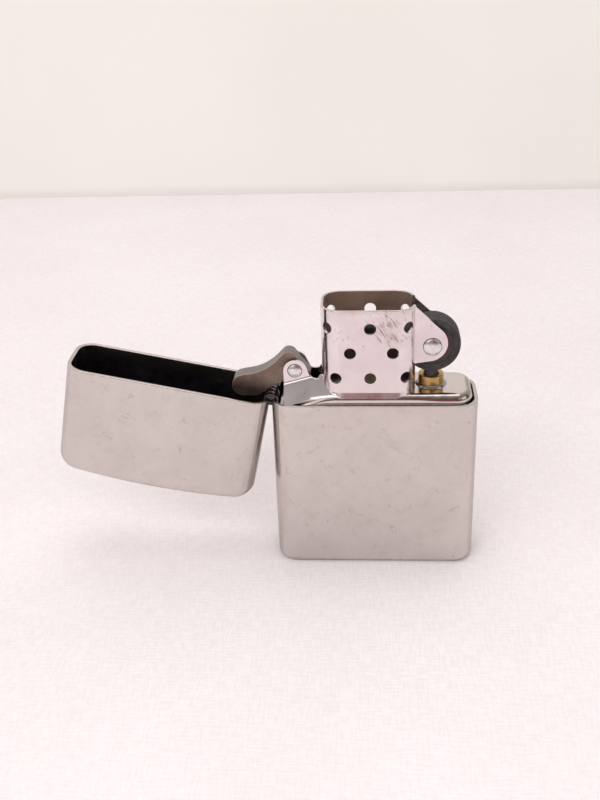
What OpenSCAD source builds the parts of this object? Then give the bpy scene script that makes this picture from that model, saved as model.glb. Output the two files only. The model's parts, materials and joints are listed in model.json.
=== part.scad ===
// Flip-top windproof petrol lighter, standing upright with its lid swung open.
// Origin: centre of the case's underside. +Z up, +X away from the hinge, front face to -Y.

/* [Case] */
// Width of the case and lid
case_w = 38.1; // [37.6:0.1:38.6]
// Thickness of the case, front to back
case_d = 12.7; // [12.5:0.1:12.9]
// Height of the case, without its lid
case_h = 34.75; // [34.5:0.05:35]
// Radius of the upright corners
case_r = 3.7; // [3.5:0.1:4]
// Sheet thickness of the case and lid
case_t = 0.7; // [0.6:0.05:0.75]
// Radius along the bottom edge
case_edge = 1.6; // [1.2:0.1:2]

/* [Lid] */
// Height of the lid at its middle
lid_h = 22.15; // [21.8:0.05:22.5]
// How far the lid's top bows up between its ends
lid_bow = 1.34; // [1:0.02:1.6]
// Radius at the two ends of the lid's top
lid_end_r = 2.2; // [1.8:0.1:2.6]
// Radius along the lid's long top edges
lid_edge = 1.2; // [0.8:0.1:1.6]
// How far the lid stands open from shut
lid_open = 168; // [160:1:172]

/* [Hinge] */
// Radius of the barrel
barrel_r = 1.12; // [1.05:0.01:1.15]
// Length of the barrel
barrel_l = 7.2; // [7:0.1:7.4]
// Radius of the hinge pin
pin_r = 0.5; // [0.45:0.01:0.55]
// Thickness of the two leaves
leaf_t = 0.4; // [0.35:0.05:0.4]
// Width of the two leaves below the barrel
leaf_w = 5.2; // [4.6:0.1:5.2]
// Length of each leaf
leaf_l = 5.2; // [4.5:0.1:6]

/* [Insert] */
// Left end of the insert, on the hinge side
insert_x0 = -17.6; // [-17.7:0.05:-17.5]
// Right end of the insert
insert_x1 = 18; // [17.8:0.05:18.1]
// Thickness of the insert, front to back
insert_d = 11.1; // [11:0.02:11.12]
// Radius of the insert's upright corners
insert_r = 3.1; // [3:0.05:3.2]
// Sheet thickness of the insert
insert_t = 0.5; // [0.4:0.05:0.5]
// Height of the insert's flat deck above the table
deck_z = 36.5; // [36.3:0.05:36.6]
// Radius round the deck's edge
deck_edge = 1; // [0.8:0.1:1.1]

/* [Chimney] */
// Left end of the chimney wall
chimney_x0 = -9.6; // [-9.7:0.05:-9.5]
// Right end of the chimney wall
chimney_x1 = 7.5; // [7.4:0.05:7.6]
// Thickness of the chimney, front to back
chimney_d = 10.4; // [10.3:0.05:10.5]
// Radius of the chimney's upright corners
chimney_r = 3.6; // [3.5:0.05:3.7]
// Height of the chimney's rim above the table
chimney_top = 53; // [52.8:0.05:53.2]
// Diameter of the draught holes
vent_dia = 2.1; // [1.9:0.05:2.3]
// Height between the rows of draught holes
vent_rise = 4.93; // [4.8:0.01:5]

/* [Flint and wheel] */
// Distance of the wheel's axle right of the middle
wheel_x = 10.5; // [10.4:0.05:10.6]
// Height of the wheel's axle above the table
wheel_z = 45; // [44.9:0.05:45.1]
// Radius of the flint wheel over its teeth
wheel_r = 5.2; // [5.1:0.05:5.25]
// Thickness of the flint wheel
wheel_t = 4.1; // [3.9:0.05:4.2]
// Number of teeth round the wheel
wheel_teeth = 44; // [36:1:52]
// Radius of the flint
flint_r = 1.25; // [1.2:0.01:1.25]
// Length of the flint
flint_l = 5; // [4:0.1:5.5]

/* [Cam] */
// Distance of the cam's pivot from the middle
cam_x = -14.6; // [-14.65:0.05:-14.55]
// Height of the cam's pivot above the table
cam_z = 40.1; // [40.05:0.05:40.15]
// Thickness of the cam
cam_t = 3.1; // [2.8:0.05:3.2]

/* [Wick and packing] */
// Height of the wick's tip above the table
wick_top = 48.5; // [46:0.1:50]
// Radius of the wick
wick_r = 1.5; // [1.3:0.05:1.6]
// Thickness of the felt pad under the insert
felt_t = 2; // [1.6:0.1:2.4]

/* [Hidden] */
$fn = 64;

rim_gap = 0.1;                                 // between the lid's rim and the case's, shut
hinge_x = -case_w / 2 - 0.15;                  // hinge axis, just outside the end wall
hinge_z = case_h + rim_gap / 2;
lid_z0 = case_h + rim_gap;                     // the lid's rim when it is shut
lid_top = lid_z0 + lid_h;
bow_r = (pow(case_w / 2, 2) + pow(lid_bow, 2)) / (2 * lid_bow);
bow_z = lid_top - bow_r;                       // centre of the bowed top
notch_w = barrel_l + 0.3;                      // opening in both end walls for the barrel
notch_h = barrel_r + 0.15;
wall_in = case_w / 2 - case_t;                 // inner face of the end wall
knuckles = 5;
knuckle_pitch = barrel_l / knuckles;
knuckle_gap = 0.05;
knuckle_clear = 0.1;                           // round a knuckle, to the other leaf
running = 0.03;                                // radial clearance of a turning pin
pin_recess = 0.3;                              // the pin ends short of the barrel's ends

insert_w = insert_x1 - insert_x0;
insert_cx = (insert_x1 + insert_x0) / 2;
insert_z0 = 1.5;                               // the open bottom of the insert
seam_z = 33;                                   // joint between the tank and its formed top
skirt_z = 35.5;                                // foot of the chimney's skirt
skirt_mid_z = 36.2;                            // its flange ends and the flare starts here
skirt_top_z = 37.4;                            // and the flare meets the wall here
skirt_x0 = -12;
skirt_mid_x0 = -10.7;
ramp_top = [-10.1, deck_z];                    // the top slopes down from here
ramp_end = [-16.6, 34.2];                      // to here, beside the hinge
ramp_drop = [-17.1, 33.7];
ramp_slope = atan2(ramp_top[1] - ramp_end[1], ramp_top[0] - ramp_end[0]);

sheet = 0.5;                                   // chimney and ear sheet
chimney_w = chimney_x1 - chimney_x0;
chimney_cx = (chimney_x1 + chimney_x0) / 2;
skirt_y = insert_d / 2 - 0.05;
spring_rivet_x = -11;
spring_rivet_r = 0.5;
spring_leaf_t = 0.2;
wheel_ear_y = 2.75;                            // outer face of the wheel's ears
plate_y = 2.75;                                // outer face of the lower side plates
cam_ear_y = 2.25;                              // outer face of the cam's ears, stepped in
cam_ear_r = 2.1;
step_low = [cam_x - 2, 37.5];                  // the plate steps in to the ear along the line
step_high = [-11.9, 38.85];                    // between these two points
slot_z = 40.2;                                 // foot of the opening facing the wheel
vent_row = 39.95;                              // height of the lowest row of holes
vent_mid = -0.7;
vent_half = 3.83;                              // the middle row's two holes, from vent_mid

axle_r = 1;
wheel_head_r = 1.7;
cam_pin_r = 0.8;
cam_head_r = 1.35;
wheel_bottom = wheel_z - wheel_r;

tube_r = 2.15;
tube_head_r = 2.34;
tube_top = 38.6;
tube_bore = flint_r + 0.08;
tube_z0 = 2.7;
collar_r = 2.95;
collar_t = 0.5;
flint_top = wheel_bottom - 0.06;
flint_z0 = flint_top - flint_l;
tip_l = 1.4;
tip_z0 = flint_z0 - 0.05 - tip_l;
screw_shank_r = tube_bore - 0.05;
screw_top = 8;
screw_head_r = 2.6;
screw_head_h = 1.1;
screw_slot_w = 0.8;
screw_slot_d = 0.5;
spring_z0 = screw_top + 0.05;
spring_z1 = tip_z0 - 0.05;
spring_turns = 16;
spring_r = 1.15;
spring_wire = 0.4;
wick_x = -1;
wick_z0 = 10;                                  // lower end of the wick, in the packing

function ramp_z(x) = deck_z + (x - ramp_top[0]) * tan(ramp_slope);
function arc(c, r, a0, a1, n = 10) =
    [for (i = [0:n]) let (a = a0 + (a1 - a0) * i / n) [c[0] + r * cos(a), c[1] + r * sin(a)]];
function bezier(p, n = 10) =
    [for (i = [1:n - 1]) let (t = i / n, s = 1 - t)
        s * s * s * p[0] + 3 * s * s * t * p[1] + 3 * s * t * t * p[2] + t * t * t * p[3]];
// Point where the line from p touches a circle, on the side given by 1 or -1
function touch(p, c, r, side) =
    let (v = p - c, d = norm(v), a = atan2(v[1], v[0]) + side * acos(r / d))
    [c[0] + r * cos(a), c[1] + r * sin(a)];

// ---- shared shapes ----

// Rounded rectangle, seen from above
module plan(w, d, r) {
    square([w - 2 * r, d], center = true);
    square([w, d - 2 * r], center = true);
    for (x = [-1, 1], y = [-1, 1]) translate([x * (w / 2 - r), y * (d / 2 - r)]) circle(r);
}

// Sweeps a wall section round a rounded rectangle; the section's x = 0 is the corner's centre
module round_wall(w, d, r) {
    lx = w - 2 * r;
    ly = d - 2 * r;
    for (q = [[1, 1, 0], [-1, 1, 90], [-1, -1, 180], [1, -1, 270]])
        translate([q[0] * lx / 2, q[1] * ly / 2, 0]) rotate([0, 0, q[2]]) rotate_extrude(angle = 90) children();
    for (s = [0, 180]) {
        rotate([0, 0, s]) translate([lx / 2, ly / 2, 0]) rotate([90, 0, 0]) linear_extrude(ly) children();
        rotate([0, 0, s + 90]) translate([ly / 2, lx / 2, 0]) rotate([90, 0, 0]) linear_extrude(lx) children();
    }
}

// Solid block with a rounded top edge, standing on z = 0
module round_top_block(w, d, h, r, e) {
    round_wall(w, d, r) {
        union() {
            square([r, h - e]);
            square([r - e, h]);
            translate([r - e, h - e]) circle(e);
        }
    }
    translate([0, 0, h / 2]) cube([w - 2 * r, d - 2 * r, h], center = true);
}

// Flat shape drawn in the XZ plane, given a thickness from y0 to y1
module side_plate(y0, y1) {
    translate([0, y1, 0]) rotate([90, 0, 0]) linear_extrude(y1 - y0) children();
}

// Places a part drawn on the shut lid where the open lid holds it
module on_open_lid() {
    translate([hinge_x, 0, hinge_z]) rotate([0, -lid_open, 0]) translate([-hinge_x, 0, -hinge_z]) children();
}

// Cylinder across the lighter, centred front to back
module cross_pin(x, z, r, l) {
    translate([x, 0, z]) rotate([90, 0, 0]) cylinder(r = r, h = l, center = true);
}

// Rivet across the lighter with a low domed head at each end
module rivet(x, z, r, head_r, grip, head_h) {
    cross_pin(x, z, r, grip + 0.02);
    for (s = [-1, 1])
        translate([x, s * grip / 2, z]) rotate([-90 * s, 0, 0]) intersection() {
            cylinder(r = head_r, h = head_h);
            translate([0, 0, head_h - 2.6 * head_r]) sphere(2.6 * head_r);
        }
}

// ---- case ----

module case_section() {
    difference() {
        union() {
            translate([0, case_edge]) square([case_r, case_h - case_edge]);
            square([case_r - case_edge, case_edge]);
            translate([case_r - case_edge, case_edge]) circle(case_edge);
        }
        translate([-1, case_t]) square([case_r - case_edge + 1, case_h]);
        translate([-1, case_edge]) square([case_r - case_t + 1, case_h]);
        translate([case_r - case_edge, case_edge]) circle(case_edge - case_t);
    }
}

module hinge_notch() {
    translate([-case_w / 2 - 1, -notch_w / 2, hinge_z - notch_h])
        cube([case_t + leaf_t + 1, notch_w, 2 * notch_h]);
}

module case_bottom() {
    color("silver") difference() {
        union() {
            round_wall(case_w, case_d, case_r) case_section();
            translate([0, 0, case_t / 2])
                cube([case_w - 2 * case_r, case_d - 2 * case_r, case_t], center = true);
        }
        hinge_notch();
    }
}

// ---- lid, drawn shut ----

module lid_outline(inset) {
    corner_x = case_w / 2 - lid_end_r;
    corner_z = bow_z + sqrt(pow(bow_r - lid_end_r, 2) - pow(corner_x, 2));
    half = corner_x * bow_r / (bow_r - lid_end_r);
    intersection() {
        translate([0, bow_z]) circle(bow_r - inset, $fn = 360);
        translate([-half, 0]) square([2 * half, lid_top]);
    }
    translate([inset - case_w / 2, 0]) square([case_w - 2 * inset, corner_z]);
    for (s = [-1, 1]) translate([s * corner_x, corner_z]) circle(lid_end_r - inset);
}

module bow_section(inset) {
    half = case_d / 2 - inset;
    r = lid_edge - inset / 2;
    depth = 40;                                // reaches well below the lid's rim
    translate([bow_r - depth, -half]) square([depth - inset - r, 2 * half]);
    translate([bow_r - depth, r - half]) square([depth - inset, 2 * (half - r)]);
    for (s = [-1, 1]) translate([bow_r - inset - r, s * (half - r)]) circle(r);
}

module lid_block(inset) {
    intersection() {
        translate([0, 0, lid_z0 - inset])
            linear_extrude(lid_h + 2) plan(case_w - 2 * inset, case_d - 2 * inset, case_r - inset);
        side_plate(-case_d, case_d) lid_outline(inset);
        translate([0, 0, bow_z]) rotate([90, 0, 0]) rotate([0, 0, 78])
            rotate_extrude(angle = 24, $fn = 360) bow_section(inset);
    }
}

module lid_shell() {
    color("silver") on_open_lid() difference() {
        lid_block(0);
        lid_block(case_t);
        hinge_notch();
    }
}

// ---- hinge ----

module knuckle(i) {
    y = -barrel_l / 2 + i * knuckle_pitch + knuckle_pitch / 2;
    translate([hinge_x, y, hinge_z]) rotate([90, 0, 0])
        cylinder(r = barrel_r, h = knuckle_pitch - knuckle_gap, center = true);
}

module knuckle_web(i) {
    y = -barrel_l / 2 + i * knuckle_pitch + knuckle_gap / 2;
    top = -barrel_r - knuckle_clear + 0.15;
    translate([-wall_in - 0.12, y, hinge_z + top])
        cube([leaf_t + 0.12, knuckle_pitch - knuckle_gap, -top]);
}

// Leaf hanging below the hinge axis, with its share of the knuckles
module leaf(first, bore) {
    shoulder = hinge_z - barrel_r + 0.05;
    difference() {
        union() {
            translate([-wall_in, -leaf_w / 2, shoulder - leaf_l]) cube([leaf_t, leaf_w, leaf_l]);
            translate([-wall_in, -barrel_l / 2, hinge_z - notch_h + 0.02])
                cube([leaf_t, barrel_l, shoulder - hinge_z + notch_h - 0.02]);
            for (i = [first:2:knuckles - 1]) {
                knuckle(i);
                knuckle_web(i);
            }
        }
        cross_pin(hinge_x, hinge_z, bore, barrel_l + 2);
    }
}

module hinge_case_leaf() { color("dimgray") leaf(0, pin_r); }

module hinge_lid_leaf() {
    color("dimgray") on_open_lid()
        translate([0, 0, 2 * hinge_z]) mirror([0, 0, 1]) leaf(1, pin_r + running);
}

module hinge_pin() {
    color("gray") cross_pin(hinge_x, hinge_z, pin_r, barrel_l - 2 * pin_recess);
}

// ---- insert body ----

module insert_tank() {
    color("gainsboro") translate([insert_cx, 0, insert_z0]) linear_extrude(seam_z - insert_z0) difference() {
        plan(insert_w, insert_d, insert_r);
        plan(insert_w - 2 * insert_t, insert_d - 2 * insert_t, insert_r - insert_t);
    }
}

// Outline of the insert's formed top seen from the front, moved in by inset
module top_outline(inset) {
    dx = inset * sin(ramp_slope);
    dz = inset * cos(ramp_slope);
    polygon([[insert_x0 - 1, seam_z - 1], [insert_x0 - 1, ramp_drop[1] - 0.6 - dz], [ramp_drop[0] + dx, ramp_drop[1] - dz],
             [ramp_end[0] + dx, ramp_end[1] - dz], [ramp_top[0] + dx, ramp_top[1] - dz],
             [insert_x1 + 1, deck_z - inset + 0.01], [insert_x1 + 1, seam_z - 1]]);
}

module top_block(inset) {
    intersection() {
        translate([insert_cx, 0, seam_z - inset])
            round_top_block(insert_w - 2 * inset, insert_d - 2 * inset, deck_z - seam_z,
                            insert_r - inset, deck_edge - inset / 2);
        side_plate(-insert_d, insert_d) top_outline(inset);
    }
}

module skirt_plan(x0, half_y) {
    translate([(chimney_x1 + 0.3 + x0) / 2, 0]) plan(chimney_x1 + 0.3 - x0, 2 * half_y, chimney_r);
}

module insert_top() {
    color("gainsboro") difference() {
        top_block(0);
        top_block(insert_t);
        translate([wick_x, 0, deck_z - 1]) cylinder(r = wick_r + 0.05, h = 2);
        translate([wheel_x, 0, deck_z - 1]) cylinder(r = tube_r, h = 2);
        on_ramp(spring_rivet_x) cylinder(r = spring_rivet_r, h = 3, center = true);
    }
}

// ---- chimney ----

module chimney_plan(inset) {
    translate([chimney_cx, 0]) plan(chimney_w - 2 * inset, chimney_d - 2 * inset, chimney_r - inset);
}

module skirt_level(z, x0, half_y) {
    translate([0, 0, z]) linear_extrude(0.02) skirt_plan(x0, half_y);
}

// Foot of the chimney, flaring out to the edge of the insert
module skirt() {
    hull() {
        skirt_level(skirt_z, skirt_x0, skirt_y);
        skirt_level(skirt_mid_z, skirt_mid_x0, skirt_y - 0.15);
    }
    hull() {
        skirt_level(skirt_mid_z, skirt_mid_x0, skirt_y - 0.15);
        skirt_level(skirt_top_z, chimney_x0 - 0.05, chimney_d / 2 + 0.02);
    }
}

module wheel_ear() {
    tip = [9.75, 45.6];
    tip_r = 3.5;
    root_x = chimney_x1 - 0.7;                 // inside the chimney's wall
    top = [root_x + sheet, chimney_top - 0.3];
    low = [root_x + sheet, 41.7];
    polygon([top, touch(top, tip, tip_r, -1), tip, touch(low, tip, tip_r, 1), low,
             [root_x, low[1]], [root_x, top[1]]]);
    translate(tip) circle(tip_r);
}

module cam_ear() {
    pivot = [cam_x, cam_z];
    shoulder = [-11.8, 38.6];
    foot_z = 36.6;
    translate(pivot) circle(cam_ear_r);
    polygon([pivot - [2, 0], [cam_x - 2, foot_z], [shoulder[0] + 0.2, foot_z], shoulder,
             touch(shoulder, pivot, cam_ear_r, 1), pivot + [0, 1]]);
}

// Low side plate between the ears and the chimney, resting on the ramp
module low_plate() {
    outer_x = cam_x - 2;
    root_x = chimney_x0 + 0.3;                 // inside the chimney's wall
    foot_z = 33.5;                             // below the ramp, which trims it
    scallop = [-10.75, 40.05];
    scallop_r = 1.45;
    difference() {
        polygon([step_low, [outer_x, foot_z], [ramp_end[0], foot_z], [-12, foot_z + 1], [root_x, foot_z + 1],
                 [root_x, 41], [step_high[0], 41], step_high]);
        translate(scallop) circle(scallop_r);
        translate(scallop - [scallop_r, 0]) square([2 * scallop_r, 2]);
    }
}

module vent(x, z) {
    translate([x, 0, z]) rotate([90, 0, 0]) cylinder(d = vent_dia, h = 2 * case_d, center = true, $fn = 32);
}

// Hole through a rounded corner of the chimney, square to its surface
module corner_vent(side, front, turn, z) {
    cx = side < 0 ? chimney_x0 + chimney_r : chimney_x1 - chimney_r;
    translate([cx, front * (chimney_d / 2 - chimney_r), z]) rotate([0, 0, -side * front * turn])
        rotate([-front * 90, 0, 0]) cylinder(d = vent_dia, h = 5, $fn = 32);
}

module vents() {
    for (z = [vent_row, vent_row + 2 * vent_rise]) vent(vent_mid, z);
    for (s = [-1, 1]) vent(vent_mid + s * vent_half, vent_row + vent_rise);
    for (f = [-1, 1]) {
        corner_vent(-1, f, 43, vent_row + 2 * vent_rise);
        corner_vent(1, f, 40, vent_row + 2 * vent_rise);
        corner_vent(-1, f, 16, vent_row);
        corner_vent(1, f, 31, vent_row);
    }
}

module chimney() {
    color("gainsboro") difference() {
        union() {
            translate([0, 0, skirt_z]) linear_extrude(chimney_top - skirt_z) chimney_plan(0);
            skirt();
            for (s = [0, 1]) mirror([0, s, 0]) {
                side_plate(-plate_y, sheet - plate_y) low_plate();
                side_plate(-cam_ear_y - 0.05, sheet - cam_ear_y) cam_ear();
                side_plate(-wheel_ear_y, sheet - wheel_ear_y) wheel_ear();
            }
        }
        top_block(0);
        translate([0, 0, skirt_z]) linear_extrude(chimney_top) chimney_plan(sheet);
        translate([chimney_x1 - chimney_r, sheet - wheel_ear_y, slot_z])
            cube([2 * chimney_r, 2 * (wheel_ear_y - sheet), chimney_top]);
        vents();
        cross_pin(cam_x, cam_z, cam_pin_r, 2 * insert_d);
        cross_pin(wheel_x, wheel_z, axle_r, 2 * insert_d);
        translate([wheel_x, 0, deck_z - 1]) cylinder(r = collar_r + 0.05, h = 3);
        translate([chimney_x0 - 4, sheet - plate_y, skirt_z - 1]) cube([4, 2 * (plate_y - sheet), 4]);
    }
}

module felt_pad() {
    color("ivory") translate([0, 0, insert_z0 + 0.1]) linear_extrude(felt_t) difference() {
        translate([insert_cx, 0]) plan(insert_w - 2 * insert_t - 0.1, insert_d - 2 * insert_t - 0.1, insert_r - insert_t);
        translate([wheel_x, 0]) circle(screw_head_r + 0.3);
    }
}

module cotton_packing() {
    color("white") translate([0, 0, insert_z0 + felt_t + 0.3]) linear_extrude(seam_z - insert_z0 - felt_t - 1) difference() {
        translate([insert_cx, 0]) plan(insert_w - 2 * insert_t - 0.4, insert_d - 2 * insert_t - 0.4, insert_r - insert_t);
        translate([wheel_x, 0]) circle(tube_r + 0.2);
        translate([wick_x, 0]) circle(wick_r + 0.1);
    }
}

module wick() {
    color("linen") translate([wick_x, 0, wick_z0]) cylinder(r = wick_r, h = wick_top - wick_z0);
}

// ---- cam ----

module cam_outline() {
    tail = [-9.75, -3.3];
    hump = arc([-1.15, 2.05], 1.42, 142, 38);
    start = arc(tail, 2.15, 262, 98);
    heel = arc([0, 0], 2.45, -62, -125);
    polygon(concat(
        start,
        bezier([start[10], [-8.3, -0.75], [-5.6, -1.05], hump[0]]),
        hump,
        arc([1.95, -1.25], 0.95, 38, -85),
        heel,
        bezier([heel[10], [-3.6, -2.9], [-4, -3.2], [-5.9, -4.55]]),
        arc([-7.7, -3.3], 2.1, -55, -85)));
}

module cam() {
    color("dimgray") translate([cam_x, 0, cam_z]) difference() {
        side_plate(-cam_t / 2, cam_t / 2) cam_outline();
        cross_pin(0, 0, cam_pin_r + running, 10);
    }
}

module cam_rivet() {
    color("white") rivet(cam_x, cam_z, cam_pin_r, cam_head_r, 2 * cam_ear_y + 0.1, 0.35);
}

// Places a part drawn on z = 0 on the ramp's surface, square to it
module on_ramp(x) {
    translate([x, 0, ramp_z(x)]) rotate([0, -ramp_slope, 0]) children();
}

// Leaf spring under the cam's heel, riveted to the ramp
module cam_spring() {
    half_w = 1.3;
    lift = 0.02;
    bend = [-1.1, lift];
    rise = [-2, 0.9];
    tip = [-4.6, 2.1];
    up = [0.05, spring_leaf_t];
    color("silver") difference() {
        on_ramp(spring_rivet_x) side_plate(-half_w, half_w)
            polygon([[0.8, lift], bend, rise, tip, tip + [-0.05, spring_leaf_t],
                     rise + up, bend + up, [0.8, lift + spring_leaf_t]]);
        on_ramp(spring_rivet_x) cylinder(r = spring_rivet_r, h = 3, center = true);
    }
}

module cam_spring_rivet() {
    color("silver") on_ramp(spring_rivet_x) {
        translate([0, 0, -insert_t]) cylinder(r = spring_rivet_r, h = insert_t + spring_leaf_t + 0.03);
        translate([0, 0, spring_leaf_t + 0.02]) cylinder(r = 0.75, h = 0.2);
    }
}

// ---- wheel and flint ----

module flint_wheel() {
    tooth = 360 / wheel_teeth;
    root = wheel_r - 0.35;
    flank = 0.6;                               // of a tooth's pitch, from crest to root
    color("dimgray") translate([wheel_x, 0, wheel_z]) difference() {
        side_plate(-wheel_t / 2, wheel_t / 2)
            polygon([for (i = [0:wheel_teeth - 1], k = [0:1])
                let (r = k == 0 ? wheel_r : root, a = (i + k * flank) * tooth) [r * cos(a), r * sin(a)]]);
        cross_pin(0, 0, axle_r + running, 10);
    }
}

module wheel_rivet() {
    color("white") rivet(wheel_x, wheel_z, axle_r, wheel_head_r, 2 * wheel_ear_y, 0.45);
}

module flint_tube() {
    color("goldenrod") translate([wheel_x, 0, 0]) difference() {
        union() {
            translate([0, 0, tube_z0]) cylinder(r = tube_r, h = deck_z - tube_z0);
            translate([0, 0, deck_z]) cylinder(r = tube_head_r, h = tube_top - deck_z);
        }
        translate([0, 0, tube_z0 - 1]) cylinder(r = tube_bore, h = tube_top);
    }
}

module tube_collar() {
    color("silver") translate([wheel_x, 0, deck_z]) difference() {
        cylinder(r1 = collar_r, r2 = tube_head_r + 0.15, h = collar_t);
        translate([0, 0, -1]) cylinder(r = tube_head_r, h = 3);
    }
}

module flint() {
    color("gray") translate([wheel_x, 0, flint_z0]) cylinder(r = flint_r, h = flint_l);
}

module spring_tip() {
    color("goldenrod") translate([wheel_x, 0, tip_z0]) {
        cylinder(r = flint_r - 0.02, h = tip_l);
    }
}

// Close-wound coil: a ring sector twisted upwards
module flint_spring() {
    turn = 110;
    color("silver") translate([wheel_x, 0, spring_z0])
        linear_extrude(spring_z1 - spring_z0, twist = -360 * spring_turns, slices = 9 * spring_turns, $fn = 4)
            polygon(concat(arc([0, 0], spring_r, 0, turn, 3), arc([0, 0], spring_r - spring_wire, turn, 0, 3)));
}

module flint_screw() {
    color("goldenrod") translate([wheel_x, 0, tube_z0 - screw_head_h - 0.02]) difference() {
        union() {
            cylinder(r = screw_head_r, h = screw_head_h);
            cylinder(r = screw_shank_r, h = screw_top - tube_z0 + screw_head_h);
        }
        cube([2 * screw_head_r + 1, screw_slot_w, 2 * screw_slot_d], center = true);
    }
}

case_bottom();
hinge_case_leaf();
hinge_pin();
lid_shell();
hinge_lid_leaf();
insert_tank();
insert_top();
chimney();
felt_pad();
cotton_packing();
wick();
cam();
cam_rivet();
cam_spring();
cam_spring_rivet();
flint_wheel();
wheel_rivet();
flint_tube();
tube_collar();
flint();
spring_tip();
flint_spring();
flint_screw();
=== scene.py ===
"""The looks of a flip-top windproof petrol lighter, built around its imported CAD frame."""
import functools
import json
from math import acos, ceil, cos, pi, radians, sin, sqrt, tan

import bmesh
import bpy
from mathutils import Matrix, Vector, noise


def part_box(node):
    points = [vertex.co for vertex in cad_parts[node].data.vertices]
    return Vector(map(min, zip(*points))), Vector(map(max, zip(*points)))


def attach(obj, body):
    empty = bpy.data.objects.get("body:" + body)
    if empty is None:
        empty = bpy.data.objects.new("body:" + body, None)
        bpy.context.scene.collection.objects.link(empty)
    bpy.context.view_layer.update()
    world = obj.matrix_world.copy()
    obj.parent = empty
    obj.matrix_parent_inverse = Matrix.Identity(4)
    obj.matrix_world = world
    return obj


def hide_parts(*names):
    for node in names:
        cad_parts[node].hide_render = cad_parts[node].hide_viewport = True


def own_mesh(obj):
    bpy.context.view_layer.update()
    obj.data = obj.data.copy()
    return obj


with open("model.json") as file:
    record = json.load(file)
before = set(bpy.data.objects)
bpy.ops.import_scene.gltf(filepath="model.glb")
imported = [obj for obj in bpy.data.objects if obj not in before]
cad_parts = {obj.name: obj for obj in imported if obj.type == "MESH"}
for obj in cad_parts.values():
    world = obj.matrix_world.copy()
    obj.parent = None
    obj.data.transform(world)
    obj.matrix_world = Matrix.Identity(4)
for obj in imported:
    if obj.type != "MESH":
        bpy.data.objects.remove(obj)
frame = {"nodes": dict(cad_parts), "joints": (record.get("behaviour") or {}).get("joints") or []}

# Shapes are worked out in millimetres and stored in metres.
MM = 0.001
WELD = 0.002          # points closer than this are joined
CORNER = 3.7          # radius of the case's upright corners
WALL = 0.7            # thickness of the case and lid
FOOT = 1.6            # rounding of the case's foot
RIM = 0.14            # rounding of the sheet's own edge
SHEET = 0.5           # thickness of the insert and chimney sheet
RAMP_START = -10.1    # where the insert's top starts to slope down to the hinge
RAMP_END = -16.6      # and where the slope steepens
RAMP_SLOPE = 0.354
CHIMNEY_LOW, CHIMNEY_HIGH = (-9.6, -5.2), (7.5, 5.2)    # corners of the chimney, seen from above
CHIMNEY_CORNER = 3.6
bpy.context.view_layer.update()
joints = {joint["name"]: joint for joint in frame["joints"]}


@functools.cache
def box(node):
    """Lowest and highest corner of a CAD node, in millimetres."""
    low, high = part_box(node)
    return low / MM, high / MM


def pivot(joint):
    """A point on a joint's axis, in millimetres."""
    return Vector(joints[joint]["pos_m"]) / MM


# ---- mesh helpers ----

def rounded_loop(low, high, radius, along_x=30, along_y=6, turns=10):
    """Points and outward normals round a rounded rectangle that spans low to high, seen from above."""
    middle = (Vector(low[:2]) + Vector(high[:2])) / 2
    corner = (Vector(high[:2]) - Vector(low[:2])) / 2 - Vector((radius, radius))
    loop = []
    for quarter, (side_x, side_y) in enumerate(((1, 1), (-1, 1), (-1, -1), (1, -1))):
        centre = middle + Vector((side_x * corner.x, side_y * corner.y))
        for i in range(turns + 1):
            angle = (quarter + i / turns) * pi / 2
            normal = Vector((cos(angle), sin(angle)))
            loop.append((centre + radius * normal, normal))
        start, normal = loop[-1]
        length, count = (2 * corner.x, along_x) if quarter % 2 == 0 else (2 * corner.y, along_y)
        step = Vector((-normal.y, normal.x)) * length / count
        loop += [(start + step * i, normal) for i in range(1, count)]
    return loop


def ring(loop, inset, height):
    """The loop moved inward, at a height. Each may be a function, of (x, normal) and of x."""
    points = []
    for point, normal in loop:
        moved = point - normal * (inset(point.x, normal) if callable(inset) else inset)
        z = height(moved.x) if callable(height) else height
        points.append(Vector((moved.x, moved.y, z)))
    return points


def shrink(outline, share, height=None):
    """A ring pulled in to its middle line: share 1 leaves it alone and 0 flattens it."""
    half_x = max(p.x for p in outline) - min(p.x for p in outline)
    half_y = max(p.y for p in outline) - min(p.y for p in outline)
    middle_x = (max(p.x for p in outline) + min(p.x for p in outline)) / 2
    reach = (half_x - half_y) / 2
    points = []
    for p in outline:
        x = middle_x + min(max(p.x - middle_x, -reach), reach)
        moved = Vector((x + (p.x - x) * share, p.y * share))
        points.append(Vector((moved.x, moved.y, height(moved.x) if height else p.z)))
    return points


def quarter_round(radius, steps=4, reverse=False):
    """(inset, drop) pairs from a wall round to a top face."""
    angles = [i / steps * pi / 2 for i in range(steps + 1)]
    pairs = [(radius * (1 - cos(a)), radius * (1 - sin(a))) for a in angles]
    return pairs[::-1] if reverse else pairs


def skin(rings):
    """Vertices and faces that join closed rings of equal length, one after the other."""
    n = len(rings[0])
    faces = [(a * n + i, a * n + (i + 1) % n, (a + 1) * n + (i + 1) % n, (a + 1) * n + i)
             for a in range(len(rings) - 1) for i in range(n)]
    return [point for points in rings for point in points], faces


def softened(outline, radius, steps=4):
    """An open (radius, height) profile with its inner corners rounded."""
    points = [Vector(p) for p in outline]
    result = [points[0]]
    for before, corner, after in zip(points, points[1:], points[2:]):
        a, b = before - corner, after - corner
        reach = min(radius, 0.45 * a.length, 0.45 * b.length)
        start, end = corner + a.normalized() * reach, corner + b.normalized() * reach
        for i in range(steps + 1):
            t = i / steps
            result.append((1 - t) ** 2 * start + 2 * t * (1 - t) * corner + t * t * end)
    return result + [points[-1]]


def lathe(profile, place, steps=64):
    """Rings of a turned shape, from a (radius, height) profile that place puts in the frame."""
    return [[place @ Vector((r * cos(2 * pi * i / steps), r * sin(2 * pi * i / steps), z))
             for i in range(steps)] for r, z in profile]


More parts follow.
